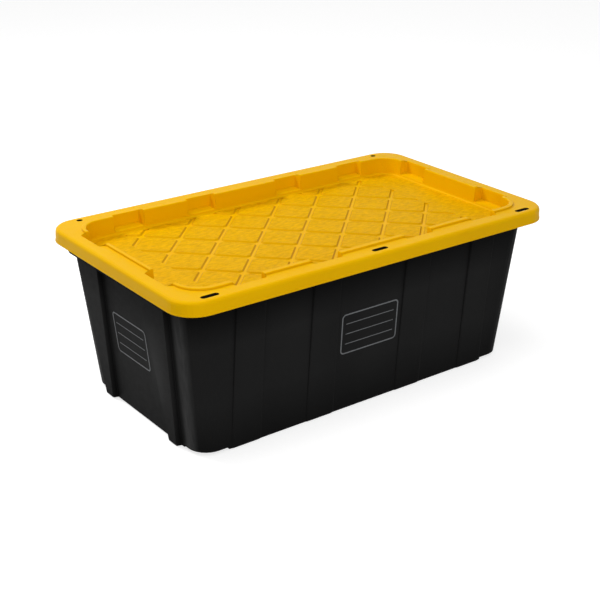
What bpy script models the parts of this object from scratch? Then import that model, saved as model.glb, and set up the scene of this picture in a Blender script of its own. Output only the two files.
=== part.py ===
"""Stackable storage bin: a moulded tote and the snap lid that closes it.

Units are metres and +Z is up. The origin is the centre of the tote's base, on
the surface that the bin stands on. +X runs along the bin's long side.

The lid's top is sunk into a recess. Raised blocks stand round the recess, with
pockets between them, and its floor is a deck of diamond pads. The base of a
second bin stands between the blocks and its pilasters drop into the pockets,
so the tote's outline and the lid's recess share the same values.

Both pieces are lofts through closed rings. All the rings of a piece have the
same number of points, so that each point has its neighbour in the next ring.
"""

import math

import bmesh
import bpy
from mathutils import Vector

# Lid, outside
LID_LENGTH = 0.990
LID_WIDTH = 0.573
LID_CORNER_RADIUS = 0.061
LID_WALL = 0.0028
SKIRT_HEIGHT = 0.0293
SKIRT_DRAFT = 0.0008
SHOULDER_RADIUS = 0.008
BEAD_HEIGHT = 0.0028
BEAD_REACH = 0.0008

# Lid, recess: the pockets' line, the foot of the raised blocks, and their inner faces
RIM_BAND_SIDE = 0.0364
RIM_BAND_END = 0.0307
STEP_REACH_SIDE = 0.0085
STEP_REACH_END = 0.0124
STEP_CORNER_RADIUS = 0.060
BLOCK_RISE = 0.0045
BLOCK_REACH_SIDE = 0.0211
BLOCK_REACH_END = 0.0213
BLOCK_CORNER_RADIUS = 0.048
BLOCK_FLANK = 0.003
RIM_EDGE_RADIUS = 0.0015
BLOCK_OUTER_RADIUS = 0.0015
BLOCK_INNER_RADIUS = 0.0025
RECESS_DRAFT = 0.0010
DECK_DEPTH = 0.0385
DECK_EDGE_RADIUS = 0.006
POCKET_WALL_DEPTH = 0.029
POCKET_RAMP_DEPTH = 0.0322
SIDE_POCKET_WIDTH = 0.078
END_POCKET_WIDTH = 0.088

# Lid, diamond pads
PAD_PITCH = 0.0881
PAD_CORNER_CUT = 0.0045
CHANNEL_FLOOR_WIDTH = 0.0055
CHANNEL_SLOPE = 0.003
CHANNEL_DEPTH = 0.003
PAD_FIELD_END_MARGIN = 0.0855
PAD_FIELD_SIDE_MARGIN = 0.008
PAD_FIELD_CORNER_RADIUS = 0.050

# Slots through the rim of the lid and the flange of the tote
SLOT_LENGTH_FRONT = 0.041
SLOT_LENGTH_BACK = 0.014
SLOT_WIDTH = 0.0125
SLOT_INSET = 0.0233
SLOT_END_INSET = 0.073

# Tote, rim
TOTE_HEIGHT = 0.3727
COLLAR_FLARE = 0.010
TOTE_WALL = 0.003
FLOOR_THICKNESS = 0.0035
FLANGE_EDGE_RADIUS = 0.004
LIP_DROP = 0.012
GRIP_SHOW = 0.0085

# Tote, body
BODY_CORNER_RADIUS = 0.055
BASE_CORNER_RADIUS = 0.046
BASE_EDGE_RADIUS = 0.005
FLOOR_EDGE_RADIUS = 0.006
SIDE_PILASTER_INSET = 0.1132
SIDE_PILASTER_SPACING = 0.1921
SIDE_PILASTER_WIDTH = 0.066
SIDE_PILASTER_RISE_TOP = 0.0055
SIDE_PILASTER_RISE_BASE = 0.0015
END_PILASTER_INSET = 0.0913
END_PILASTER_WIDTH_TOP = 0.088
END_PILASTER_WIDTH_BASE = 0.029
END_PILASTER_RISE_TOP = 0.0100
END_PILASTER_RISE_BASE = 0.011
PILASTER_FLANK = 0.006
CORNER_RELIEF_HEIGHT = 0.0075
CORNER_RELIEF_LENGTH = 0.073
CORNER_RELIEF_WIDTH = 0.0665

# Clearances
REST_GAP = 0.0003
LIP_CLEARANCE = 0.0010
MOUTH_CLEARANCE = 0.0006
TUB_CLEARANCE_SIDE = 0.0118
TUB_CLEARANCE_END = 0.0184
RAMP_CLEARANCE = 0.002
STACKING_CLEARANCE_SIDE = 0.0040
STACKING_CLEARANCE_END = 0.0130
CUT_MARGIN = 0.010

CORNER_STEPS = 8
EDGE_STEPS = 3
# How a bump's flank rises: (share of the way up the flank's width, share of the rise)
FLANK_PROFILE = ((0.0, 0.0), (0.3, 0.1), (0.7, 0.9), (1.0, 1.0))
SHARP_ANGLE = math.radians(32)

# Heights that both pieces share
RIM_TOP = TOTE_HEIGHT + REST_GAP + LID_WALL
SKIRT_BOTTOM = RIM_TOP - SKIRT_HEIGHT
DECK_TOP = RIM_TOP - DECK_DEPTH

# Plan sizes that both pieces share, as (half length, half width)
POCKET_HALF = (LID_LENGTH / 2 - RIM_BAND_END, LID_WIDTH / 2 - RIM_BAND_SIDE)
STEP_HALF = (POCKET_HALF[0] - STEP_REACH_END, POCKET_HALF[1] - STEP_REACH_SIDE)
BLOCK_HALF = (POCKET_HALF[0] - BLOCK_REACH_END, POCKET_HALF[1] - BLOCK_REACH_SIDE)
COLLAR_INNER_HALF = tuple(size + LID_WALL + MOUTH_CLEARANCE for size in POCKET_HALF)
COLLAR_INNER_RADIUS = STEP_CORNER_RADIUS + LID_WALL + MOUTH_CLEARANCE
BODY_TOP_HALF = (
    BLOCK_HALF[0] + LID_WALL + TUB_CLEARANCE_END + TOTE_WALL,
    BLOCK_HALF[1] + LID_WALL + TUB_CLEARANCE_SIDE + TOTE_WALL,
)
BASE_HALF = (
    BLOCK_HALF[0] - STACKING_CLEARANCE_END,
    BLOCK_HALF[1] - STACKING_CLEARANCE_SIDE,
)
LIP_INSET = BEAD_REACH + SKIRT_DRAFT + LID_WALL + LIP_CLEARANCE
LIP_OUTER_HALF = (LID_LENGTH / 2 - LIP_INSET, LID_WIDTH / 2 - LIP_INSET)
LIP_CORNER_RADIUS = LID_CORNER_RADIUS - LIP_INSET
OUTER_PILASTER = BASE_HALF[0] - SIDE_PILASTER_INSET
SIDE_CENTRES = sorted(
    sign * centre
    for sign in (-1, 1)
    for centre in (OUTER_PILASTER, OUTER_PILASTER - SIDE_PILASTER_SPACING)
)
END_PILASTER = BASE_HALF[1] - END_PILASTER_INSET


def clear_scene():
    """Remove every object of the open scene."""
    for item in list(bpy.data.objects):
        bpy.data.objects.remove(item, do_unlink=True)


def plastic(name, colour, roughness):
    """Return a moulded plastic material."""
    material = bpy.data.materials.new(name)
    material.use_nodes = True
    shader = material.node_tree.nodes["Principled BSDF"]
    shader.inputs["Base Color"].default_value = (*colour, 1.0)
    shader.inputs["Roughness"].default_value = roughness
    shader.inputs["Metallic"].default_value = 0.0
    return material


def new_object(name, shape):
    """Link a new object that holds the bmesh, and free the bmesh."""
    mesh = bpy.data.meshes.new(name)
    bmesh.ops.recalc_face_normals(shape, faces=shape.faces)
    shape.to_mesh(mesh)
    shape.free()
    item = bpy.data.objects.new(name, mesh)
    bpy.context.collection.objects.link(item)
    return item


def as_cutter(item):
    """Mark an object as a guide that only shapes others."""
    item.hide_render = True
    item.display_type = "WIRE"
    return item


def combine(item, other, operation):
    """Add an exact Boolean with another object to an object."""
    modifier = item.modifiers.new(f"{operation.lower()}_{other.name}", "BOOLEAN")
    modifier.operation = operation
    modifier.solver = "EXACT"
    modifier.object = other


def finish(item, material):
    """Give a piece its material and smooth shading with sharp corners."""
    item.data.materials.append(material)
    item.data.shade_smooth()
    item.data.set_sharp_from_angle(angle=SHARP_ANGLE)


def quarter_round(radius):
    """Return (run, rise) pairs that round a wall over into the face above it."""
    turns = [math.pi / 2 * step / EDGE_STEPS for step in range(EDGE_STEPS + 1)]
    return [(radius * (1 - math.cos(turn)), radius * math.sin(turn)) for turn in turns]


def corner_arc(half, radius, sign_x, sign_y):
    """Return the points of one rounded corner, counter-clockwise."""
    start = {(1, 1): 0.0, (-1, 1): 0.5, (-1, -1): 1.0, (1, -1): 1.5}[sign_x, sign_y]
    centre = Vector((sign_x * (half[0] - radius), sign_y * (half[1] - radius)))
    points = []
    for step in range(CORNER_STEPS + 1):
        angle = math.pi * (start + 0.5 * step / CORNER_STEPS)
        points.append(centre + radius * Vector((math.cos(angle), math.sin(angle))))
    return points


def rounded_rectangle(half, radius):
    """Return a plain rounded rectangle, counter-clockwise."""
    points = []
    for sign_x, sign_y in ((1, 1), (-1, 1), (-1, -1), (1, -1)):
        points += corner_arc(half, radius, sign_x, sign_y)
    return points


def bump_run(centres, width, flank):
    """Return (position, share) pairs along one side that has a bump at each centre.

    The share is 0 between the bumps, 1 on them, and rises over each flank.
    width is the flat part's, between the flanks.
    """
    run = []
    for centre in sorted(centres):
        climb = [(-width / 2 - flank * (1 - along), share) for along, share in FLANK_PROFILE]
        fall = [(-position, share) for position, share in reversed(climb)]
        run += [(centre + position, share) for position, share in climb + fall]
    return run


def ring_points(half, radius, side_run, end_run):
    """Return (point, outward direction, share) all round, counter-clockwise.

    The four corners are plain, so their points have no share of the bumps.
    """
    plan = []
    for sign in (1, -1):
        end = Vector((sign, 0.0))
        side = Vector((0.0, sign))
        plan += [(Vector((sign * half[0], sign * y)), end, share) for y, share in end_run]
        plan += [(point, None, 0.0) for point in corner_arc(half, radius, sign, sign)]
        plan += [
            (Vector((sign * x, sign * half[1])), side, share) for x, share in reversed(side_run)
        ]
        plan += [(point, None, 0.0) for point in corner_arc(half, radius, -sign, sign)]
    return plan


def loft(name, rings):
    """Return a closed solid through rings that have the same number of points."""
    shape = bmesh.new()
    add_loft(shape, rings)
    return new_object(name, shape)


def add_loft(shape, rings):
    """Add a closed solid through rings to a bmesh."""
    rows = [[shape.verts.new(point) for point in ring] for ring in rings]
    for lower, upper in zip(rows, rows[1:]):
        for i in range(len(lower)):
            j = (i + 1) % len(lower)
            shape.faces.new((lower[i], lower[j], upper[j], upper[i]))
    shape.faces.new(list(reversed(rows[0])))
    shape.faces.new(rows[-1])


def level(outline, height):
    """Lift an outline to one height."""
    return [Vector((point[0], point[1], height)) for point in outline]


def prisms(name, outlines, bottom, top):
    """Return one object of upright prisms, one for each outline."""
    shape = bmesh.new()
    for outline in outlines:
        add_loft(shape, [level(outline, bottom), level(outline, top)])
    return new_object(name, shape)


def slot_outline(centre_x, centre_y, length):
    """Return a slot with round ends that runs along X."""
    radius = SLOT_WIDTH / 2
    straight = length / 2 - radius
    points = []
    for end in (1, -1):
        for step in range(2 * EDGE_STEPS + 1):
            angle = math.pi * (step / (2 * EDGE_STEPS) - 0.5 * end)
            x = centre_x + end * straight + radius * math.cos(angle)
            points.append((x, centre_y + radius * math.sin(angle)))
    return points


def slot_cutter():
    """Return the slots through the rim and the flange: three in front, two behind."""
    line = LID_WIDTH / 2 - SLOT_INSET
    outer = LID_LENGTH / 2 - SLOT_END_INSET
    outlines = [slot_outline(x, -line, SLOT_LENGTH_FRONT) for x in (-outer, 0.0, outer)]
    outlines += [slot_outline(x, line, SLOT_LENGTH_BACK) for x in (-outer, outer)]
    bottom = TOTE_HEIGHT - TOTE_WALL - LIP_DROP
    return as_cutter(prisms("slot_cutter", outlines, bottom, RIM_TOP + CUT_MARGIN))


def tote_heights():
    """Return the heights where the body ends and where the collar starts."""
    collar_bottom = RIM_TOP - POCKET_WALL_DEPTH - LID_WALL - RAMP_CLEARANCE
    return collar_bottom - COLLAR_FLARE, collar_bottom


def tote_ring(half, radius, height, end_width=END_PILASTER_WIDTH_TOP, rises=(0.0, 0.0), inset=0.0):
    """Return one ring of the tote, with its pilasters.

    half is the plain face's half length and half width, rises is how far the
    pilasters stand out of the sides and the ends, and inset moves the ring
    inward, as a wall's thickness does. height is a number, or a function that
    gives the height at a point of the plan.
    """
    inner = (half[0] - inset, half[1] - inset)
    side_run = bump_run(SIDE_CENTRES, SIDE_PILASTER_WIDTH - 2 * inset, PILASTER_FLANK)
    end_centres = (-END_PILASTER, END_PILASTER)
    end_run = bump_run(end_centres, end_width - 2 * inset, PILASTER_FLANK)
    ring = []
    for point, outward, share in ring_points(inner, radius - inset, side_run, end_run):
        if outward is not None:
            rise = rises[1] if outward.x else rises[0]
            point = point + outward * rise * share
        ring.append(Vector((point.x, point.y, height(point) if callable(height) else height)))
    return ring


def base_ring(height, inset):
    """Return a ring of the body near its base."""
    rises = (SIDE_PILASTER_RISE_BASE, END_PILASTER_RISE_BASE)
    return tote_ring(BASE_HALF, BASE_CORNER_RADIUS, height, END_PILASTER_WIDTH_BASE, rises, inset)


def body_rings(radius, inset, bottom):
    """Return the rings of the body, from its rounded lower edge to its top."""
    rings = []
    for run, rise in reversed(quarter_round(radius)):
        rings.append(base_ring(bottom + radius - rise, inset + run))
    rises = (SIDE_PILASTER_RISE_TOP, END_PILASTER_RISE_TOP)
    body_top, _ = tote_heights()
    top = tote_ring(BODY_TOP_HALF, BODY_CORNER_RADIUS, body_top, rises=rises, inset=inset)
    return rings + [top]


def lip_bottom(point):
    """Return how low the turned-down lip reaches at a point of the flange."""
    short = TOTE_HEIGHT - TOTE_WALL - LIP_DROP
    grip = SKIRT_BOTTOM - GRIP_SHOW
    straight = LIP_OUTER_HALF[1] - LIP_CORNER_RADIUS
    grip_half = END_PILASTER + END_PILASTER_WIDTH_TOP / 2 + PILASTER_FLANK
    if abs(point.x) < LIP_OUTER_HALF[0] - LIP_CORNER_RADIUS:
        return short
    share = min(max((abs(point.y) - grip_half) / (straight - grip_half), 0.0), 1.0)
    return grip + (short - grip) * share


def tote_outside():
    """Return the tote as if it were solid, from the base to the rim."""
    _, collar_bottom = tote_heights()
    flange_bottom = TOTE_HEIGHT - TOTE_WALL
    collar_half = tuple(size + TOTE_WALL for size in COLLAR_INNER_HALF)
    collar_radius = COLLAR_INNER_RADIUS + TOTE_WALL
    rings = body_rings(BASE_EDGE_RADIUS, 0.0, 0.0)
    rings.append(tote_ring(collar_half, collar_radius, collar_bottom))
    rings.append(tote_ring(collar_half, collar_radius, flange_bottom))
    for height in (flange_bottom, lip_bottom):
        rings.append(tote_ring(LIP_OUTER_HALF, LIP_CORNER_RADIUS, height, inset=TOTE_WALL))
    rings.append(tote_ring(LIP_OUTER_HALF, LIP_CORNER_RADIUS, lip_bottom))
    start = TOTE_HEIGHT - FLANGE_EDGE_RADIUS
    for run, rise in quarter_round(FLANGE_EDGE_RADIUS):
        rings.append(tote_ring(LIP_OUTER_HALF, LIP_CORNER_RADIUS, start + rise, inset=run))
    return loft("tote_body", rings)


def tote_cavity():
    """Return the space inside the tote, from the floor to above the rim."""
    _, collar_bottom = tote_heights()
    rings = body_rings(FLOOR_EDGE_RADIUS, TOTE_WALL, FLOOR_THICKNESS)
    for height in (collar_bottom, TOTE_HEIGHT + CUT_MARGIN):
        rings.append(tote_ring(COLLAR_INNER_HALF, COLLAR_INNER_RADIUS, height))
    return as_cutter(loft("tote_cavity", rings))


def relief_cutter(name, growth, top):
    """Return the four blocks that lift the corners of the base."""
    near = (
        BASE_HALF[0] - CORNER_RELIEF_LENGTH - growth,
        BASE_HALF[1] - CORNER_RELIEF_WIDTH - growth,
    )
    far = (LID_LENGTH / 2, LID_WIDTH / 2)
    outlines = []
    for sign_x in (-1, 1):
        for sign_y in (-1, 1):
            corners = ((near[0], near[1]), (far[0], near[1]), (far[0], far[1]), (near[0], far[1]))
            outlines.append([(sign_x * x, sign_y * y) for x, y in corners])
    return as_cutter(prisms(name, outlines, -CUT_MARGIN, top))


def build_tote(material, slots):
    """Build the tote: one moulded shell with a turned-down rim."""
    tote = tote_outside()
    cavity = tote_cavity()
    inner_top = CORNER_RELIEF_HEIGHT + FLOOR_THICKNESS
    combine(cavity, relief_cutter("inner_relief", TOTE_WALL, inner_top), "DIFFERENCE")
    combine(tote, relief_cutter("outer_relief", 0.0, CORNER_RELIEF_HEIGHT), "DIFFERENCE")
    combine(tote, cavity, "DIFFERENCE")
    combine(tote, slots, "DIFFERENCE")
    finish(tote, material)
    return tote


def pocket_runs(growth):
    """Return the side's and the end's runs of pockets, widened by a growth."""
    side_width = SIDE_POCKET_WIDTH - 2 * BLOCK_FLANK + 2 * growth
    end_width = END_POCKET_WIDTH - 2 * BLOCK_FLANK + 2 * growth
    side_run = bump_run(SIDE_CENTRES, side_width, BLOCK_FLANK)
    end_run = bump_run((-END_PILASTER, END_PILASTER), end_width, BLOCK_FLANK)
    return side_run, end_run


def lid_ring(plain, pocket, growth=0.0):
    """Return one ring of the lid that follows one line, and another in the pockets.

    plain and pocket are (half, radius, outset, depth): the line's half length
    and half width, its corner radius, how far outside the line the ring runs,
    and how far below the rim's top it is. growth widens the pockets.
    """
    side_run, end_run = pocket_runs(growth)
    plans = []
    for half, radius, outset, _ in (plain, pocket):
        grown = (half[0] + outset, half[1] + outset)
        plans.append(ring_points(grown, radius + outset, side_run, end_run))
    ring = []
    for (low, _, share), (high, _, _) in zip(*plans):
        point = low.lerp(high, share)
        depth = plain[3] + share * (pocket[3] - plain[3])
        ring.append(Vector((point.x, point.y, RIM_TOP - depth)))
    return ring


def at_outline(inset, depth):
    """Return a place on the lid's outer line, for both arguments of lid_ring."""
    return (LID_LENGTH / 2, LID_WIDTH / 2), LID_CORNER_RADIUS, -inset, depth


def at_step(outset, depth):
    """Return a place on the line of the blocks' foot on the rim, for lid_ring."""
    return STEP_HALF, STEP_CORNER_RADIUS, outset, depth


def at_block(outset, depth):
    """Return a place on the line of the blocks' inner faces, for lid_ring."""
    return BLOCK_HALF, BLOCK_CORNER_RADIUS, outset, depth


def at_pocket(outset, depth):
    """Return a place on the line of the pockets' outer walls, for lid_ring."""
    return POCKET_HALF, STEP_CORNER_RADIUS, outset, depth


def block_path():
    """Return the places over a raised block, from its foot to its inner face."""
    places = [at_step(0.0, 0.0)]
    for run, rise in quarter_round(BLOCK_OUTER_RADIUS):
        places.append(at_step(-run, BLOCK_OUTER_RADIUS - rise - BLOCK_RISE))
    for run, rise in reversed(quarter_round(BLOCK_INNER_RADIUS)):
        places.append(at_block(run, BLOCK_INNER_RADIUS - rise - BLOCK_RISE))
    return places


def pocket_path(count):
    """Return a given number of places down a pocket's outer wall, from the rim."""
    places = []
    for run, rise in reversed(quarter_round(RIM_EDGE_RADIUS)):
        places.append(at_pocket(run, RIM_EDGE_RADIUS - rise))
    steps = count - len(places)
    for step in range(1, steps + 1):
        depth = RIM_EDGE_RADIUS + (POCKET_WALL_DEPTH - RIM_EDGE_RADIUS) * step / steps
        places.append(at_pocket(-RECESS_DRAFT * step / steps, depth))
    return places


def lid_underside():
    """Return the rings under the lid, from the deck out to the skirt's edge."""
    wall = LID_WALL
    foot = wall - RECESS_DRAFT
    deck = at_block(foot, DECK_DEPTH + CHANNEL_DEPTH + wall)
    ramp = at_block(foot, POCKET_RAMP_DEPTH + wall)
    places = [
        (deck, deck),
        (ramp, ramp),
        (at_block(wall, wall - BLOCK_RISE), at_pocket(foot, POCKET_WALL_DEPTH + wall)),
        (at_step(-wall, wall - BLOCK_RISE), at_pocket(wall, RIM_EDGE_RADIUS + wall)),
        (at_step(-wall, wall), at_pocket(wall, wall)),
    ]
    rings = [lid_ring(plain, pocket, wall) for plain, pocket in places]
    inner_radius = SHOULDER_RADIUS - wall
    for run, rise in reversed(quarter_round(inner_radius)):
        place = at_outline(BEAD_REACH + SKIRT_DRAFT + wall + run, SHOULDER_RADIUS - rise)
        rings.append(lid_ring(place, place))
    edge = at_outline(BEAD_REACH + wall, SKIRT_HEIGHT)
    rings.append(lid_ring(edge, edge))
    return rings


def lid_topside():
    """Return the rings over the lid, from the skirt's edge in to the deck."""
    outline = [
        at_outline(0.0, SKIRT_HEIGHT),
        at_outline(0.0, SKIRT_HEIGHT - BEAD_HEIGHT),
        at_outline(BEAD_REACH, SKIRT_HEIGHT - BEAD_HEIGHT - BEAD_REACH),
    ]
    for run, rise in quarter_round(SHOULDER_RADIUS):
        outline.append(at_outline(BEAD_REACH + SKIRT_DRAFT + run, SHOULDER_RADIUS - rise))
    places = [(place, place) for place in outline]
    blocks = block_path()
    places += list(zip(blocks, pocket_path(len(blocks))))
    ramp = at_block(-RECESS_DRAFT, POCKET_RAMP_DEPTH)
    places.append((ramp, ramp))
    for run, rise in quarter_round(DECK_EDGE_RADIUS):
        foot = at_block(-RECESS_DRAFT - run, DECK_DEPTH - DECK_EDGE_RADIUS + rise)
        places.append((foot, foot))
    return [lid_ring(plain, pocket) for plain, pocket in places]


def pad_outline(centre_x, centre_y, reach):
    """Return a diamond with cut corners."""
    points = []
    for step in range(4):
        angle = math.pi / 2 * step
        along = Vector((math.cos(angle), math.sin(angle)))
        across = Vector((-along.y, along.x))
        for side in (-1, 1):
            offset = along * (reach - PAD_CORNER_CUT) + across * side * PAD_CORNER_CUT
            points.append((centre_x + offset.x, centre_y + offset.y))
    return points


def pads():
    """Return the diamond pads that the channels leave standing."""
    step = PAD_PITCH / math.sqrt(2)
    foot_reach = (PAD_PITCH - CHANNEL_FLOOR_WIDTH) / math.sqrt(2)
    top_reach = foot_reach - CHANNEL_SLOPE * math.sqrt(2)
    floor = DECK_TOP - CHANNEL_DEPTH
    levels = (
        (floor - CUT_MARGIN, foot_reach),
        (floor, foot_reach),
        (DECK_TOP, top_reach),
        (DECK_TOP + CUT_MARGIN, top_reach),
    )
    count_x = math.ceil(BLOCK_HALF[0] / step)
    count_y = math.ceil(BLOCK_HALF[1] / step)
    shape = bmesh.new()
    for i in range(-count_x, count_x + 1):
        for j in range(-count_y, count_y + 1):
            if (i + j) % 2:
                rings = [level(pad_outline(i * step, j * step, reach), z) for z, reach in levels]
                add_loft(shape, rings)
    return as_cutter(new_object("pads", shape))


def channel_cutter():
    """Return the net of channels between the deck's pads."""
    half = (BLOCK_HALF[0] - PAD_FIELD_END_MARGIN, BLOCK_HALF[1] - PAD_FIELD_SIDE_MARGIN)
    outline = rounded_rectangle(half, PAD_FIELD_CORNER_RADIUS)
    bottom = DECK_TOP - CHANNEL_DEPTH
    net = as_cutter(prisms("channel_net", [outline], bottom, DECK_TOP + CUT_MARGIN / 2))
    combine(net, pads(), "DIFFERENCE")
    return net


def build_lid(material, slots):
    """Build the lid: a skirted rim round a sunken deck of pads."""
    lid = loft("snap_lid", lid_underside() + lid_topside())
    combine(lid, channel_cutter(), "DIFFERENCE")
    combine(lid, slots, "DIFFERENCE")
    finish(lid, material)
    return lid


def build_bin():
    """Build the tote and the lid closed on it."""
    clear_scene()
    slots = slot_cutter()
    black = plastic("black_polypropylene", (0.012, 0.012, 0.013), 0.45)
    yellow = plastic("yellow_polypropylene", (0.84, 0.44, 0.010), 0.42)
    build_tote(black, slots)
    build_lid(yellow, slots)


build_bin()
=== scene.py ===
"""Stackable storage bin: the finish of its tote and lid, its print, and the studio.

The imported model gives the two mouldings. This script dresses them, adds the
printed write-on panels, and sets the floor, the lamps and the camera. Lengths
are metres unless a name says millimetres.
"""

import logging
import math
from dataclasses import dataclass, field
from enum import Enum
from functools import reduce
from typing import Any

import bmesh
import bpy
from mathutils import Matrix, Vector
from mathutils.bvhtree import BVHTree


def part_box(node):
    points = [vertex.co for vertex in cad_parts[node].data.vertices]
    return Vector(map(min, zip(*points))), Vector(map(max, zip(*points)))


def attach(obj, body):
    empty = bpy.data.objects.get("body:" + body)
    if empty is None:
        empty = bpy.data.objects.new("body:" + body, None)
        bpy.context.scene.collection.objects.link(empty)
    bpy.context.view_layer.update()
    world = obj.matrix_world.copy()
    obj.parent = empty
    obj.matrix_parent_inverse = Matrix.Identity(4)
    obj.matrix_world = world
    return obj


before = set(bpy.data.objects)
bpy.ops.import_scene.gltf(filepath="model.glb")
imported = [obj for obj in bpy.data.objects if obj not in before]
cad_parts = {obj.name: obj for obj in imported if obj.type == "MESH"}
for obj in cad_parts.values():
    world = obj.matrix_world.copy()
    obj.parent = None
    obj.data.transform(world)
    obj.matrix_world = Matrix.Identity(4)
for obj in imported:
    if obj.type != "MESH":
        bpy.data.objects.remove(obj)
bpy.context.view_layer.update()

LOG = logging.getLogger("storage_bin")
MM = 0.001

# The low and high end of a range, two values that go together, and a place
Span = tuple[float, float]
Pair = tuple[float, float]
Place = tuple[float, float, float]


def linear(code: str) -> tuple[float, float, float, float]:
    """Turn an sRGB hex colour into linear RGBA.

    Args:
        code: Six hex digits, with or without a leading hash.

    Returns:
        The linear colour with an alpha of one.
    """
    digits = code.lstrip("#")
    channels = [int(digits[i : i + 2], 16) / 255.0 for i in (0, 2, 4)]
    curve = [c / 12.92 if c <= 0.04045 else ((c + 0.055) / 1.055) ** 2.4 for c in channels]
    return (curve[0], curve[1], curve[2], 1.0)


def add_node(tree: bpy.types.NodeTree, kind: str, inputs: dict[Any, Any], **settings: Any) -> Any:
    """Add a node to a tree.

    Args:
        tree: The node tree.
        kind: The node's Blender type name.
        inputs: Values or sockets for the node's inputs, by name or index.
        settings: The node's own properties.

    Returns:
        The new node.
    """
    node = tree.nodes.new(kind)
    for name, value in settings.items():
        setattr(node, name, value)
    for key, value in inputs.items():
        if isinstance(value, bpy.types.NodeSocket):
            tree.links.new(value, node.inputs[key])
        else:
            node.inputs[key].default_value = value
    return node


def per_metre(size_mm: float) -> float:
    """Return the texture scale at which a pattern repeats about every size_mm."""
    return 1.0 / (size_mm * MM)


# How near a bevelled normal stays to the face's own on a flat face and at an edge
FACE_DOT = 0.99
EDGE_DOT = 0.75

# The share of open sky above which a place counts as open
OPEN_SKY = 0.90


@dataclass(frozen=True)
class Pattern:
    """The socket-level tools that the finishes share, bound to one node tree."""

    tree: bpy.types.NodeTree

    def point(self) -> Any:
        """Return the surface point in the piece's own metres."""
        return add_node(self.tree, "ShaderNodeTexCoord", {}).outputs["Object"]

    def stretched(self, point: Any, scale: Place, turn: float = 0.0) -> Any:
        """Return the point, turned about Z by radians and then scaled."""
        turned = {"Vector": point, "Rotation": (0.0, 0.0, turn), "Scale": scale}
        return add_node(self.tree, "ShaderNodeMapping", turned).outputs[0]

    def noise(self, point: Any, size_mm: float, detail: float = 3.0, rough: float = 0.55) -> Any:
        """Return fractal noise from about 0.25 to 0.75.

        Args:
            point: The socket with the surface point.
            size_mm: The size of the coarsest grain.
            detail: How many finer layers lie on it.
            rough: How strong each finer layer is against the one before.

        Returns:
            The noise.
        """
        values = {
            "Vector": point,
            "Scale": per_metre(size_mm),
            "Detail": detail,
            "Roughness": rough,
        }
        return add_node(self.tree, "ShaderNodeTexNoise", values).outputs["Fac"]

    def cells(self, point: Any, size_mm: float, smoothness: float = 0.35) -> Any:
        """Return the distance to the nearest of a field of random cell centres.

        Args:
            point: The socket with the surface point.
            size_mm: How far apart the centres lie.
            smoothness: How much neighbouring cells run into each other.

        Returns:
            The distance, soft where cells meet.
        """
        values = {"Vector": point, "Scale": per_metre(size_mm), "Smoothness": smoothness}
        node = add_node(self.tree, "ShaderNodeTexVoronoi", values, feature="SMOOTH_F1")
        return node.outputs["Distance"]

    def ramp(self, value: Any, low: float, high: float, to: Span = (0, 1)) -> Any:
        """Return the value carried from low..high to another range, and clamped."""
        values = {
            "Value": value,
            "From Min": low,
            "From Max": high,
            "To Min": to[0],
            "To Max": to[1],
        }
        return add_node(self.tree, "ShaderNodeMapRange", values).outputs[0]

    def math(self, operation: str, first: Any, second: Any = 0.0) -> Any:
        """Return the result of one maths operation on two values."""
        values = {0: first, 1: second}
        return add_node(self.tree, "ShaderNodeMath", values, operation=operation).outputs[0]

    def product(self, *values: Any) -> Any:
        """Return the product of several values."""
        return reduce(lambda first, second: self.math("MULTIPLY", first, second), values)

    def largest(self, *values: Any) -> Any:
        """Return the largest of several values."""
        return reduce(lambda first, second: self.math("MAXIMUM", first, second), values)

    def mix(self, share: Any, first: Any, second: Any) -> Any:
        """Return the blend of two colours."""
        values = {0: share, 6: first, 7: second}
        return add_node(self.tree, "ShaderNodeMix", values, data_type="RGBA").outputs[2]

    def axis(self, vector: Any, name: str) -> Any:
        """Return one component of a vector."""
        return add_node(self.tree, "ShaderNodeSeparateXYZ", {0: vector}).outputs[name]

    def facing(self) -> Any:
        """Find which way the face looks.

        Returns:
            The face's normal in the piece's own axes.
        """
        geometry = add_node(self.tree, "ShaderNodeNewGeometry", {})
        turn = add_node(
            self.tree,
            "ShaderNodeVectorTransform",
            {0: geometry.outputs["Normal"]},
            vector_type="NORMAL",
            convert_from="WORLD",
            convert_to="OBJECT",
        )
        return turn.outputs[0]

    def upward(self) -> Any:
        """Return how far the face's normal points up, from -1 to 1."""
        return self.axis(self.facing(), "Z")

    def band(self, value: Any, middle: float, half: float, soft: float) -> Any:
        """Return 1 where the value lies within half of the middle, and 0 beyond soft."""
        gap = self.math("ABSOLUTE", self.math("SUBTRACT", value, middle))
        return self.ramp(gap, half + soft, half)

    def rounded(self, radius_mm: float) -> Any:
        """Return a normal that rolls over the moulding's edges and corners."""
        bevel = add_node(self.tree, "ShaderNodeBevel", {"Radius": radius_mm * MM}, samples=6)
        return bevel.outputs[0]

    def crevices(self, reach_mm: float, closed: float = 0.45) -> Any:
        """Return 1 in narrow corners and 0 in the open; the finishes paint shade with it.

        Args:
            reach_mm: How far a wall's neighbour counts as near.
            closed: The share of open sky at which a corner counts as full.

        Returns:
            The mask.
        """
        values = {"Distance": reach_mm * MM}
        node = add_node(
            self.tree, "ShaderNodeAmbientOcclusion", values, samples=8, only_local=True
        )
        return self.ramp(node.outputs["AO"], OPEN_SKY, closed)

    def edges(self, radius_mm: float) -> Any:
        """Return the mask of the outer edges, where handling rubs first.

        Args:
            radius_mm: How far in from the edge the mask reaches.

        Returns:
            The mask, 1 at the edge.
        """
        bevel = add_node(self.tree, "ShaderNodeBevel", {"Radius": radius_mm * MM}, samples=4)
        geometry = add_node(self.tree, "ShaderNodeNewGeometry", {})
        values = {0: bevel.outputs[0], 1: geometry.outputs["Normal"]}
        dot = add_node(self.tree, "ShaderNodeVectorMath", values, operation="DOT_PRODUCT")
        return self.ramp(dot.outputs["Value"], FACE_DOT, EDGE_DOT)

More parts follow.
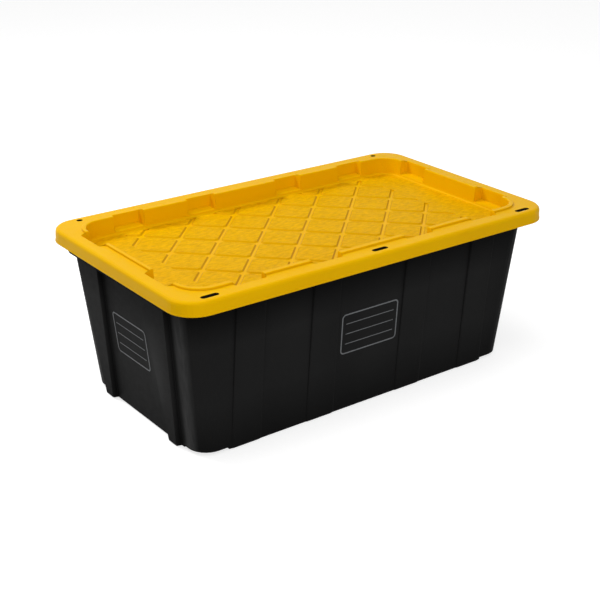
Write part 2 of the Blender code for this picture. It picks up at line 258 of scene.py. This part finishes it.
    def bump(self, height: Any, height_mm: float, below: Any = None) -> Any:
        """Return a normal that stands a pattern up from the surface.

        Args:
            height: The pattern, from 0 to 1.
            height_mm: How high its 1 stands, or how deep it lies when negative.
            below: The normal that it lies on, or None for the bare surface.

        Returns:
            The normal.
        """
        values = {"Height": height, "Distance": height_mm * MM, "Strength": 1.0}
        if below is not None:
            values["Normal"] = below
        return add_node(self.tree, "ShaderNodeBump", values).outputs[0]

    def feed(self, shader: Any, name: str, value: Any) -> None:
        """Link a socket to one of the shader's inputs."""
        self.tree.links.new(value, shader.inputs[name])


def new_material(name: str) -> tuple[bpy.types.Material, Pattern, Any]:
    """Make a material.

    Args:
        name: The material's name.

    Returns:
        The material, the pattern tools for its tree, and its shader node.
    """
    material = bpy.data.materials.new(name)
    material.use_nodes = True
    return material, Pattern(material.node_tree), material.node_tree.nodes["Principled BSDF"]


def link_mesh(name: str, shape: bmesh.types.BMesh, material: bpy.types.Material) -> Any:
    """Turn a finished shape into an object in the scene.

    Args:
        name: The object's name, and its mesh's.
        shape: The shape, which is freed.
        material: The object's material.

    Returns:
        The object.
    """
    mesh = bpy.data.meshes.new(name)
    shape.to_mesh(mesh)
    shape.free()
    mesh.materials.append(material)
    item = bpy.data.objects.new(name, mesh)
    bpy.context.collection.objects.link(item)
    return item


@dataclass(frozen=True, kw_only=True)
class Polypropylene:
    """Injection-moulded polypropylene.

    The resin is waxy: one broad, weak highlight and no mirror. Every moulding
    keeps slow streaks from the melt's flow, the mould's fine texture, and the
    pale hairlines that stacking and handling leave.
    """

    name: str
    base: str
    streak: str
    rub: str
    sheen: str
    roughness: float
    roughness_spread: float
    specular: float
    flow_mm: float
    satin_mm: float
    rub_share: float
    refraction: float = 1.49
    flow_span: Span = (0.30, 0.70)
    satin_span: Span = (0.30, 0.70)
    hairline_turns: tuple[float, ...] = (0.35, 1.3, 2.2)
    hairline_stretch: float = 0.12
    hairline_mm: float = 2.2
    hairline_span: Span = (0.66, 0.72)
    patch_mm: float = 95.0
    patch_span: Span = (0.50, 0.66)
    edge_mm: float = 1.2
    chip_mm: float = 6.0
    chip_span: Span = (0.45, 0.65)

    def start(self) -> tuple[bpy.types.Material, Pattern, Any]:
        """Make the material and set the resin's constants on its shader.

        Returns:
            The material, the pattern tools for its tree, and its shader node.
        """
        material, pattern, shader = new_material(self.name)
        shader.inputs["Metallic"].default_value = 0.0
        shader.inputs["IOR"].default_value = self.refraction
        shader.inputs["Specular IOR Level"].default_value = self.specular
        shader.inputs["Specular Tint"].default_value = linear(self.sheen)
        return material, pattern, shader

    def melt(self, pattern: Pattern, point: Any) -> Any:
        """Return the clean resin's colour, with slow streaks from the melt's flow."""
        flow = pattern.ramp(pattern.noise(point, self.flow_mm, detail=4.0), *self.flow_span)
        return pattern.mix(flow, linear(self.base), linear(self.streak))

    def satin(self, pattern: Pattern, point: Any) -> Any:
        """Return the roughness, which wanders a little over the moulding.

        Args:
            pattern: The tree's pattern tools.
            point: The socket with the surface point.

        Returns:
            The roughness, within its spread.
        """
        span = (self.roughness - self.roughness_spread, self.roughness + self.roughness_spread)
        fine = pattern.noise(point, self.satin_mm, detail=4.0)
        return pattern.ramp(fine, *self.satin_span, span)

    def hairlines(self, pattern: Pattern, point: Any) -> Any:
        """Return the mask of short, thin rub marks, gathered in a few patches.

        Args:
            pattern: The tree's pattern tools.
            point: The socket with the surface point.

        Returns:
            The mask, mostly zero.
        """
        marks = []
        for turn in self.hairline_turns:
            across = pattern.stretched(point, (self.hairline_stretch, 1.0, 1.0), turn)
            fine = pattern.noise(across, self.hairline_mm, detail=4.0, rough=0.6)
            marks.append(pattern.ramp(fine, *self.hairline_span))
        where = pattern.ramp(pattern.noise(point, self.patch_mm, detail=2.0), *self.patch_span)
        return pattern.product(pattern.largest(*marks), where)

    def wear(self, pattern: Pattern, point: Any) -> Any:
        """Return how strongly the edges and the hairlines are rubbed pale.

        Args:
            pattern: The tree's pattern tools.
            point: The socket with the surface point.

        Returns:
            The share of the rub's colour, from 0 to 1.
        """
        chips = pattern.ramp(pattern.noise(point, self.chip_mm, detail=4.0), *self.chip_span)
        edge = pattern.product(pattern.edges(self.edge_mm), chips)
        both = pattern.largest(edge, self.hairlines(pattern, point))
        return pattern.product(both, self.rub_share)


@dataclass(frozen=True, kw_only=True)
class TexturedTotePlastic(Polypropylene):
    """Black polypropylene from a spark-eroded mould: an even, sandy satin.

    The walls are greyest at mid-height. They are painted black under the lid's skirt
    as its shadow and in the grooves as painted shade, go darker toward the foot, and
    are painted darker toward the right end as shade. Painted highlights run down the
    corners, and each end has a faint patch of painted sheen. These tones stand for
    soft light as well as for wear, so the plastic isn't a measured one.
    """

    # Painted shade: black under the lid's skirt and toward the right end; it also darkens the
    # foot
    wall_shade: str
    # Painted shade in the grooves
    painted_shade: str
    # Painted highlight down the corners, and painted sheen on the ends
    painted_highlight: str
    skirt_bottom: float
    # Where the corners' painted highlight runs, and how it leans
    highlight_line: float
    highlight_taper: float
    end_start: float
    end_fade: float = 0.01
    skirt_fade: float = 0.085
    rim_fade: Span = (0.020, 0.030)
    foot_fade: float = 0.120
    foot_share: float = 0.35
    # How far the right end is painted darker as shade
    shaded_end: Span = (0.45, 0.33)
    shaded_end_share: float = 0.50
    # The painted sheen patch on each end
    end_sheen_place: Pair = (-0.104, 0.172)
    end_sheen_half: Pair = (0.010, 0.015)
    end_sheen_fade: Pair = (0.045, 0.100)
    end_sheen_share: float = 0.55
    # Shape of the corners' painted highlight bands
    highlight_half: float = 0.006
    highlight_fade: float = 0.014
    highlight_stretch: float = 0.12
    highlight_mm: float = 9.0
    highlight_span: Span = (0.25, 0.60)
    highlight_least: float = 0.55
    highlight_at_skirt: float = 0.35
    flow_stretch: float = 0.35
    # How far the grooves' painted shade reaches and where it is full
    groove_mm: float = 15.0
    groove_closed: float = 0.65
    sand_mm: float = 1.1
    sand_height_mm: float = 0.03
    sink_mm: float = 60.0
    sink_height_mm: float = 0.10

    def below_skirt(self, pattern: Pattern, point: Any) -> Any:
        """Return 0 at the bottom of the lid's skirt, and 1 well below it."""
        height = pattern.axis(point, "Z")
        return pattern.ramp(height, self.skirt_bottom, self.skirt_bottom - self.skirt_fade)

    def height_shade(self, pattern: Pattern, point: Any) -> Any:
        """Return how grey the walls are at each height, against their painted shade.

        The middle of the walls is the greyest. The strip below the lid's skirt is
        painted black as the skirt's shadow, the right end is painted darker as shade,
        and the foot is darker. The rim under the lid, above that strip, has the full grey.

        Args:
            pattern: The tree's pattern tools.
            point: The socket with the surface point.

        Returns:
            The share of the grey colour against the darker one, from 0 to 1.
        """
        height = pattern.axis(point, "Z")
        # Painted shade: black below the skirt, darker toward the foot and the right end
        below = self.below_skirt(pattern, point)
        above = pattern.ramp(height, 0.0, self.foot_fade, (self.foot_share, 1.0))
        rim_low, rim_high = self.rim_fade
        rim = pattern.ramp(height, self.skirt_bottom + rim_low, self.skirt_bottom + rim_high)
        along = pattern.axis(point, "X")
        dimming = pattern.ramp(along, *self.shaded_end, (self.shaded_end_share, 1.0))
        return pattern.largest(rim, pattern.product(below, above, dimming))

    def at_end(self, pattern: Pattern, point: Any) -> Any:
        """Return 1 on the two short ends, and 0 along the walls between them."""
        end = pattern.math("ABSOLUTE", pattern.axis(point, "X"))
        return pattern.ramp(end, self.end_start, self.end_start + self.end_fade)

    def end_sheen(self, pattern: Pattern, point: Any) -> Any:
        """Return the mask of the broad, faint patch of painted sheen on each end.

        Args:
            pattern: The tree's pattern tools.
            point: The socket with the surface point.

        Returns:
            The mask, with very soft edges.
        """
        middle_y, middle_z = self.end_sheen_place
        half_y, half_z = self.end_sheen_half
        fade_y, fade_z = self.end_sheen_fade
        across = pattern.band(pattern.axis(point, "Y"), middle_y, half_y, fade_y)
        tall = pattern.band(pattern.axis(point, "Z"), middle_z, half_z, fade_z)
        return pattern.product(across, tall, self.at_end(pattern, point), self.end_sheen_share)

    def corner_highlight(self, pattern: Pattern, point: Any) -> Any:
        """Return the mask of the upright bands of painted highlight.

        The bands run down the four corners, on the ends' side, and lean in with
        the walls.

        Args:
            pattern: The tree's pattern tools.
            point: The socket with the surface point.

        Returns:
            The mask, with soft sides and broken along its height.
        """
        side = pattern.math("ABSOLUTE", pattern.axis(point, "Y"))
        lean = pattern.product(pattern.axis(point, "Z"), self.highlight_taper)
        place = pattern.math("SUBTRACT", side, lean)
        across = pattern.band(place, self.highlight_line, self.highlight_half, self.highlight_fade)
        drawn = pattern.stretched(point, (1.0, 1.0, self.highlight_stretch))
        streaks = pattern.noise(drawn, self.highlight_mm, detail=3.0)
        broken = pattern.ramp(streaks, *self.highlight_span, (self.highlight_least, 1.0))
        below = self.below_skirt(pattern, point)
        dimming = pattern.ramp(below, 0.0, 1.0, (self.highlight_at_skirt, 1.0))
        return pattern.product(across, self.at_end(pattern, point), broken, dimming)

    def colour(self, pattern: Pattern, point: Any) -> Any:
        """Return the tote's colour: grey, with painted shade below the skirt, at the right end
        and in the grooves, painted highlights, and rubbed edges.

        Args:
            pattern: The tree's pattern tools.
            point: The socket with the surface point.

        Returns:
            The colour's socket.
        """
        wall_grey = self.melt(pattern, pattern.stretched(point, (1.0, 1.0, self.flow_stretch)))
        # Painted shade: the walls go black below the skirt, and darker at the foot and the right
        # end
        walls = pattern.mix(self.height_shade(pattern, point), linear(self.wall_shade), wall_grey)
        # Painted shade in the grooves
        groove_shade = pattern.crevices(self.groove_mm, self.groove_closed)
        shaded = pattern.mix(groove_shade, walls, linear(self.painted_shade))
        # Painted highlights down the corners and painted sheen on the ends
        highlights = pattern.largest(self.corner_highlight(pattern, point), self.end_sheen(pattern, point))
        highlighted = pattern.mix(highlights, shaded, linear(self.painted_highlight))
        return pattern.mix(self.wear(pattern, point), highlighted, linear(self.rub))

    def build(self) -> bpy.types.Material:
        """Build the tote's material.

        Returns:
            The material.
        """
        material, pattern, shader = self.start()
        point = pattern.point()
        pattern.feed(shader, "Base Color", self.colour(pattern, point))
        pattern.feed(shader, "Roughness", self.satin(pattern, point))
        hollows = pattern.noise(point, self.sink_mm, detail=1.0)
        sink = pattern.bump(hollows, self.sink_height_mm)
        grains = pattern.noise(point, self.sand_mm, detail=2.0)
        sand = pattern.bump(grains, self.sand_height_mm, sink)
        pattern.feed(shader, "Normal", sand)
        return material


@dataclass(frozen=True, kw_only=True)
class PaddedLidPlastic(Polypropylene):
    """Yellow polypropylene: a smooth satin rim round leather-grained pads.

    The pads' grain dulls them and gives each a faint mottle. Painted shade lies on
    the channels' slopes, more on one family of channels than on the other, and in
    narrow corners, and the slots' walls are painted black as shade.
    """

    pad: str
    # Painted shade on the channels' slopes and in narrow corners
    painted_shade: str
    # Painted shade on the slots' walls
    slot_shade: str
    pad_top: float
    slot_line: float
    pad_band: float = 0.0006
    pad_tilt: Span = (0.80, 0.97)
    pad_dullness: float = 0.12
    slot_half: float = 0.0075
    slot_reach: float = 0.4550
    slot_tilt: Pair = (0.4, 0.2)
    channel_depth: float = 0.0030
    channel_tilt: float = 0.71
    channel_tilt_band: float = 0.1
    # How much painted shade each family of slopes gets
    skew_span: Span = (0.1, -0.1)
    shade_along: float = 0.28
    shade_across: float = 0.46
    # Painted shade in narrow corners
    corner_shade_mm: float = 7.0
    corner_shade_share: float = 0.18
    mottle_mm: float = 7.0
    mottle_stretch: float = 0.45
    mottle_span: Span = (0.35, 0.65)
    leather_mm: float = 5.0
    leather_height_mm: float = 0.30
    wrinkle_mm: float = 17.0
    wrinkle_height_mm: float = 1.3
    edge_round_mm: float = 1.6
    sink_mm: float = 70.0
    sink_height_mm: float = 0.12
    carried_light: float = 0.06
    carried_mm: float = 3.0

    def pads(self, pattern: Pattern, point: Any) -> Any:
        """Return the mask of the pads' tops: level faces at the deck's height.

        Args:
            pattern: The tree's pattern tools.
            point: The socket with the surface point.

        Returns:
            The mask, 1 on the pads.
        """
        level = pattern.band(pattern.axis(point, "Z"), self.pad_top, self.pad_band, self.pad_band)
        return pattern.product(level, pattern.ramp(pattern.upward(), *self.pad_tilt))

    def slot_wall_shade(self, pattern: Pattern, point: Any) -> Any:
        """Return the mask of the slots' walls, which are painted black as shade.

        Args:
            pattern: The tree's pattern tools.
            point: The socket with the surface point.

        Returns:
            The mask, 1 on the slots' walls.
        """
        side = pattern.math("ABSOLUTE", pattern.axis(point, "Y"))
        line = pattern.band(side, self.slot_line, self.slot_half, MM)
        inside = pattern.band(pattern.axis(point, "X"), 0.0, self.slot_reach, MM)
        upright = pattern.band(pattern.upward(), 0.0, *self.slot_tilt)
        return pattern.product(line, inside, upright)

    def slope_shade(self, pattern: Pattern, point: Any) -> Any:
        """Return how much painted shade lies on the channels' slopes.

        One family of channels, told apart by which way its slopes face, gets more of
        it than the other.

        Args:
            pattern: The tree's pattern tools.
            point: The socket with the surface point.

        Returns:
            The share of painted shade, from 0 to 1.
        """
        half = self.channel_depth / 2
        level = pattern.band(pattern.axis(point, "Z"), self.pad_top - half, half, self.pad_band)
        facing = pattern.facing()
        tilt, soft = self.channel_tilt, self.channel_tilt_band
        steep = pattern.band(pattern.axis(facing, "Z"), tilt, soft, soft)
        skew = pattern.product(pattern.axis(facing, "X"), pattern.axis(facing, "Y"))
        share = pattern.ramp(skew, *self.skew_span, (self.shade_along, self.shade_across))
        return pattern.product(level, steep, share)

    def colour(self, pattern: Pattern, point: Any, pads: Any) -> Any:
        """Return the lid's colour: clean resin, dull pads, rubs, and painted shade in corners, on
        the slopes and on the slots' walls.

        Args:
            pattern: The tree's pattern tools.
            point: The socket with the surface point.
            pads: The mask of the pads' tops.

        Returns:
            The colour's socket.
        """
        smooth = self.melt(pattern, point)
        drawn = pattern.stretched(point, (self.mottle_stretch, 1.0, 1.0))
        spots = pattern.noise(drawn, self.mottle_mm, detail=4.0, rough=0.65)
        mottle = pattern.ramp(spots, *self.mottle_span)
        grained = pattern.mix(mottle, linear(self.pad), smooth)
        clean = pattern.mix(pads, smooth, grained)
        # Painted shade in narrow corners and on the channels' slopes
        corners = pattern.product(pattern.crevices(self.corner_shade_mm), self.corner_shade_share)
        shade_share = pattern.largest(corners, self.slope_shade(pattern, point))
        rubbed = pattern.mix(self.wear(pattern, point), clean, linear(self.rub))
        shaded = pattern.mix(shade_share, rubbed, linear(self.painted_shade))
        # The slots' walls are painted black as shade
        return pattern.mix(self.slot_wall_shade(pattern, point), shaded, linear(self.slot_shade))

    def build(self) -> bpy.types.Material:
        """Build the lid's material.

        Returns:
            The material.
        """
        material, pattern, shader = self.start()
        shader.inputs["Subsurface Weight"].default_value = self.carried_light
        shader.inputs["Subsurface Scale"].default_value = self.carried_mm * MM
        point = pattern.point()
        pads = self.pads(pattern, point)
        pattern.feed(shader, "Base Color", self.colour(pattern, point, pads))
        dull = pattern.product(pads, self.pad_dullness)
        rough = pattern.math("ADD", self.satin(pattern, point), dull)
        pattern.feed(shader, "Roughness", rough)
        pattern.feed(shader, "Normal", self.relief(pattern, point, pads))
        return material

    def relief(self, pattern: Pattern, point: Any, pads: Any) -> Any:
        """Return the normal: soft edges and sink marks, and leather grain on the pads.

        Args:
            pattern: The tree's pattern tools.
            point: The socket with the surface point.
            pads: The mask of the pads' tops.

        Returns:
            The normal's socket.
        """
        edge = pattern.rounded(self.edge_round_mm)
        hollows = pattern.noise(point, self.sink_mm, detail=1.0)
        sink = pattern.bump(hollows, self.sink_height_mm, edge)
        creases = pattern.noise(point, self.wrinkle_mm, detail=5.0, rough=0.6)
        folds = pattern.bump(pattern.product(creases, pads), self.wrinkle_height_mm, sink)
        leather = pattern.product(pattern.cells(point, self.leather_mm), pads)
        return pattern.bump(leather, self.leather_height_mm, folds)


@dataclass(frozen=True)
class PadPrintInk:
    """Grey ink, pad-printed on textured plastic.

    The film is thin and matt. It misses the deepest pits of the plastic's
    texture, so black specks show through, and it thins where hands rub it.
    """

    name: str = "grey_pad_printed_ink"
    ink: str = "#707274"
    plastic: str = "#1a1b1c"
    specular: float = 0.2
    ink_roughness: float = 0.62
    plastic_roughness: float = 0.5
    pit_mm: float = 0.9
    pit_span: Span = (0.60, 0.68)
    thin_mm: float = 40.0
    thin_span: Span = (0.55, 0.80)
    thin_most: float = 0.5
    film_mm: float = 0.02

    def build(self) -> bpy.types.Material:
        """Build the ink's material.

        Returns:
            The material.
        """
        material, pattern, shader = new_material(self.name)
        shader.inputs["Specular IOR Level"].default_value = self.specular
        point = pattern.point()
        specks = pattern.noise(point, self.pit_mm, detail=2.0)
        pits = pattern.ramp(specks, *self.pit_span)
        patches = pattern.noise(point, self.thin_mm, detail=5.0, rough=0.65)
        thin = pattern.ramp(patches, *self.thin_span, (0.0, self.thin_most))
        lost = pattern.largest(pits, thin)
        colour = pattern.mix(lost, linear(self.ink), linear(self.plastic))
        pattern.feed(shader, "Base Color", colour)
        rough = pattern.ramp(lost, 0.0, 1.0, (self.ink_roughness, self.plastic_roughness))
        pattern.feed(shader, "Roughness", rough)
        pattern.feed(shader, "Normal", pattern.bump(lost, -self.film_mm))
        return material


class Wall(Enum):
    """The tote's walls that carry a print, by their outward direction."""

    FRONT = (0.0, -1.0)
    LEFT = (-1.0, 0.0)


@dataclass
class Moulding:
    """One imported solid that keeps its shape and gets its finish."""

    node: str
    finish: Any

    def dress(self) -> bpy.types.Object:
        """Give the solid its material.

        Returns:
            The solid's object.
        """
        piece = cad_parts[self.node]
        piece.data.materials.clear()
        piece.data.materials.append(self.finish.build())
        LOG.info("dressed %s in %s", self.node, self.finish.name)
        return piece


@dataclass(frozen=True)
class WriteOnPanel:
    """A blank panel for the contents' name, printed on one wall of the tote.

    It is a rounded frame with ruled lines in it. The print is a thin film that
    lies on the wall and follows its slope.
    """

    wall: Wall
    along: float
    height: float
    width: float = 0.156
    depth: float = 0.096
    corner: float = 0.010
    frame_line: float = 0.0030
    ruled_line: float = 0.0018
    rows: int = 3
    row_margin: float = 0.012
    film: float = 0.00012
    corner_steps: int = 8
    line_steps: int = 12

    def frame_outline(self, inset: float) -> list[Pair]:
        """Return one outline of the frame.

        Args:
            inset: How far it lies in from the frame's outer edge.

        Returns:
            The outline's points, closed, with round corners.
        """
        radius = self.corner - inset
        half_width = self.width / 2 - self.corner
        half_depth = self.depth / 2 - self.corner
        corners = []
        for quarter, (sign_u, sign_v) in enumerate(((1, 1), (-1, 1), (-1, -1), (1, -1))):
            middle = Vector((sign_u * half_width, sign_v * half_depth))
            for step in range(self.corner_steps + 1):
                angle = math.pi / 2 * (quarter + step / self.corner_steps)
                corners.append(middle + radius * Vector((math.cos(angle), math.sin(angle))))
        return self.divided(corners)

    def divided(self, corners: list[Vector]) -> list[Pair]:
        """Cut an outline's long straight runs into steps, so that it follows the wall.

        Args:
            corners: The closed outline's points.

        Returns:
            The points with the steps between them.
        """
        points = []
        for first, second in zip(corners, corners[1:] + corners[:1]):
            steps = self.line_steps if (second - first).length > self.corner else 1
            points += [tuple(first.lerp(second, step / steps)) for step in range(steps)]
        return points

    def build(self, tote: bpy.types.Object, ink: bpy.types.Material) -> bpy.types.Object:
        """Print the panel on the tote.

        Args:
            tote: The tote's solid.
            ink: The ink's material.

        Returns:
            The print's object.
        """
        outward = Vector((*self.wall.value, 0.0))
        across = Vector((-outward.y, outward.x, 0.0))
        tree = BVHTree.FromObject(tote, bpy.context.evaluated_depsgraph_get())
        shape = bmesh.new()
        under, over = self.film / 2, self.film

        def lay(u: float, v: float, lift: float) -> bmesh.types.BMVert:
            """Add a vertex over the wall.

            Args:
                u: Its place along the print.
                v: Its place up the print.
                lift: How far it stands off the wall.

            Returns:
                The vertex.
            """
            start = across * (self.along + u) + Vector((0.0, 0.0, self.height + v)) + outward
            hit, normal, _, _ = tree.ray_cast(start, -outward)
            return shape.verts.new(hit + normal * lift)

        def skin(loops: list[list[bmesh.types.BMVert]]) -> None:
            """Join each loop of vertices to the next one by faces.

            Args:
                loops: Closed loops with equal numbers of vertices.
            """
            for first, second in zip(loops, loops[1:]):
                for i in range(len(first)):
                    j = (i + 1) % len(first)
                    shape.faces.new((first[i], first[j], second[j], second[i]))

        outer = self.frame_outline(0.0)
        inner = self.frame_outline(self.frame_line)
        layers = ((outer, under), (outer, over), (inner, over), (inner, under))
        rings = [[lay(u, v, lift) for u, v in ring] for ring, lift in layers]
        skin(rings + rings[:1])
        reach = self.width / 2 - self.row_margin
        half = self.ruled_line / 2
        for row in range(1, self.rows + 1):
            v = self.depth / 2 - row * self.depth / (self.rows + 1)
            section = ((v - half, under), (v + half, under), (v + half, over), (v - half, over))
            stations = []
            for step in range(self.line_steps + 1):
                u = reach * (2 * step / self.line_steps - 1)
                stations.append([lay(u, at, lift) for at, lift in section])
            skin(stations)
            shape.faces.new(stations[0])
            shape.faces.new(list(reversed(stations[-1])))
        bmesh.ops.recalc_face_normals(shape, faces=shape.faces)
        print_film = link_mesh(f"write_on_panel_{self.wall.name.lower()}", shape, ink)
        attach(print_film, "tote")
        LOG.info("printed %s", print_film.name)
        return print_film


class Lamp(Enum):
    """The studio's lamps, by what each one does."""

    TOP = "top"
    KEY = "key"
    FILL = "fill"


@dataclass(frozen=True)
class SoftBox:
    """One square lamp: where it stands, how wide it is and how strong."""

    place: Place
    size: float
    watts: float


@dataclass
class Studio:
    """Pale floor, soft lamps, an even world and the camera."""

    lens_mm: float = 73.886
    sensor_mm: float = 36.0
    pitch_degrees: float = 23.257
    yaw_degrees: float = 53.023
    roll_degrees: float = 0.317
    camera_reach: Place = (-1.5760, -2.0802, 0.9436)
    aim_drop: float = 0.0338
    floor_size: float = 60.0
    floor_drop: float = 0.0005
    floor_colour: str = "#d8d8d8"
    floor_roughness: float = 0.9
    floor_specular: float = 0.1
    floor_glow: float = 0.70
    fibre_mm: float = 30.0
    fibre_shade: float = 0.985
    white: str = "#ffffff"
    world_level: float = 0.30
    lamp_target: Place = (0.0, 0.0, 0.2)
    lamps: dict[Lamp, SoftBox] = field(
        default_factory=lambda: {
            Lamp.TOP: SoftBox(place=(-0.5, -0.3, 3.2), size=1.6, watts=29.0),
            Lamp.KEY: SoftBox(place=(-1.22, 1.74, 2.73), size=0.9, watts=48.0),
            Lamp.FILL: SoftBox(place=(-0.9, -3.0, 1.1), size=1.2, watts=26.0),
        }
    )

    def add_camera(self) -> None:
        """Add the camera, placed from the bottom of the lid's skirt."""
        yaw = math.radians(self.yaw_degrees)
        pitch = math.radians(self.pitch_degrees)
        roll = math.radians(self.roll_degrees)
        flat = Vector((math.cos(yaw), math.sin(yaw), 0.0))
        forward = flat * math.cos(pitch) - Vector((0.0, 0.0, math.sin(pitch)))
        level_right = Vector((math.sin(yaw), -math.cos(yaw), 0.0))
        level_up = level_right.cross(forward)
        right = level_right * math.cos(roll) + level_up * math.sin(roll)
        up = right.cross(forward)
        data = bpy.data.cameras.new("camera")
        data.sensor_fit = "HORIZONTAL"
        data.sensor_width = self.sensor_mm
        data.lens = self.lens_mm
        camera = bpy.data.objects.new("camera", data)
        bpy.context.collection.objects.link(camera)
        turn = Matrix((right, up, -forward)).transposed().to_4x4()
        skirt_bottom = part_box("snap_lid")[1].z - self.aim_drop
        place = Vector(self.camera_reach) + Vector((0.0, 0.0, skirt_bottom))
        camera.matrix_world = Matrix.Translation(place) @ turn
        bpy.context.scene.camera = camera

    def floor_material(self) -> bpy.types.Material:
        """Build matt paper that is white to the eye and still takes a shadow.

        Returns:
            The floor's material.
        """
        material, pattern, shader = new_material("matt_white_paper")
        shader.inputs["Roughness"].default_value = self.floor_roughness
        shader.inputs["Specular IOR Level"].default_value = self.floor_specular
        fibre = pattern.noise(pattern.point(), self.fibre_mm, detail=4.0)
        pale = linear(self.floor_colour)
        dim = (*(channel * self.fibre_shade for channel in pale[:3]), 1.0)
        pattern.feed(shader, "Base Color", pattern.mix(fibre, dim, pale))
        shader.inputs["Emission Color"].default_value = linear(self.white)
        glow = pattern.product(self.seen(pattern), self.floor_glow)
        pattern.feed(shader, "Emission Strength", glow)
        return material

    def seen(self, pattern: Pattern) -> Any:
        """Tell the rays that show the background from those that carry its light.

        Args:
            pattern: The tree's pattern tools.

        Returns:
            1 for rays that show it, and 0 for its light.
        """
        path = add_node(pattern.tree, "ShaderNodeLightPath", {}).outputs
        shown = ("Is Camera Ray", "Is Glossy Ray", "Is Transmission Ray")
        return pattern.largest(*(path[name] for name in shown))

    def add_floor(self) -> None:
        """Add the pale floor that takes the bin's shadow."""
        shape = bmesh.new()
        bmesh.ops.create_grid(shape, x_segments=1, y_segments=1, size=self.floor_size / 2)
        floor = link_mesh("floor", shape, self.floor_material())
        floor.location.z = -self.floor_drop

    def add_lamps(self) -> None:
        """Add the soft area lamps, each aimed at the bin's middle."""
        for lamp, box in self.lamps.items():
            data = bpy.data.lights.new(f"lamp_{lamp.value}", "AREA")
            data.size = box.size
            data.energy = box.watts
            item = bpy.data.objects.new(data.name, data)
            bpy.context.collection.objects.link(item)
            item.location = box.place
            aim = Vector(self.lamp_target) - Vector(box.place)
            item.rotation_euler = aim.to_track_quat("-Z", "Y").to_euler()

    def add_world(self) -> None:
        """Light from all round, and show white behind the bin."""
        world = bpy.data.worlds.new("studio")
        bpy.context.scene.world = world
        world.use_nodes = True
        pattern = Pattern(world.node_tree)
        backdrop = world.node_tree.nodes["Background"]
        level = pattern.ramp(self.seen(pattern), 0.0, 1.0, (self.world_level, 1.0))
        pattern.feed(backdrop, "Strength", level)
        backdrop.inputs["Color"].default_value = linear(self.white)

    def build(self) -> None:
        """Build the whole studio."""
        self.add_camera()
        self.add_floor()
        self.add_lamps()
        self.add_world()
        bpy.context.scene.view_settings.view_transform = "Standard"
        LOG.info("studio is ready")


@dataclass
class StorageBin:
    """The whole bin: both mouldings and the tote's prints."""

    skirt_bottom: float = 0.3315
    deck_depth: float = 0.0430
    slot_line: float = 0.2632
    panels: tuple[WriteOnPanel, ...] = (
        WriteOnPanel(Wall.FRONT, along=0.0, height=0.188),
        WriteOnPanel(Wall.LEFT, along=-0.002, height=0.188, width=0.136),
    )

    def tote_finish(self) -> TexturedTotePlastic:
        """Return the tote's finish."""
        return TexturedTotePlastic(
            name="black_polypropylene_spark_eroded",
            base="#212121",
            streak="#252525",
            rub="#3c3c3c",
            sheen="#ffffff",
            roughness=0.46,
            roughness_spread=0.05,
            specular=0.010,
            flow_mm=140.0,
            satin_mm=14.0,
            rub_share=0.20,
            # Painted shade on the walls, painted shade in the grooves, and painted highlight with
            # sheen
            wall_shade="#0b0b0b",
            painted_shade="#070707",
            painted_highlight="#404040",
            skirt_bottom=self.skirt_bottom,
            highlight_line=0.186,
            highlight_taper=0.065,
            end_start=0.395,
        )

    def lid_finish(self) -> PaddedLidPlastic:
        """Return the lid's finish."""
        return PaddedLidPlastic(
            name="yellow_polypropylene_moulded",
            base="#f0b900",
            streak="#edb400",
            rub="#f8c840",
            sheen="#ffdf80",
            roughness=0.42,
            roughness_spread=0.05,
            specular=0.06,
            flow_mm=160.0,
            satin_mm=18.0,
            rub_share=0.28,
            pad="#d8a000",
            # Painted shade on the slopes and in corners, and on the slots' walls
            painted_shade="#a87000",
            slot_shade="#121212",
            pad_top=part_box("snap_lid")[1].z - self.deck_depth,
            slot_line=self.slot_line,
        )

    def build(self) -> None:
        """Dress both mouldings and print the panels."""
        tote = Moulding("tote_body", self.tote_finish()).dress()
        Moulding("snap_lid", self.lid_finish()).dress()
        ink = PadPrintInk().build()
        for panel in self.panels:
            panel.build(tote, ink)


def main() -> None:
    """Dress the bin and set up its studio."""
    logging.basicConfig(level=logging.INFO, format="%(name)s: %(message)s")
    Studio().build()
    StorageBin().build()


if __name__ == "__main__":
    main()
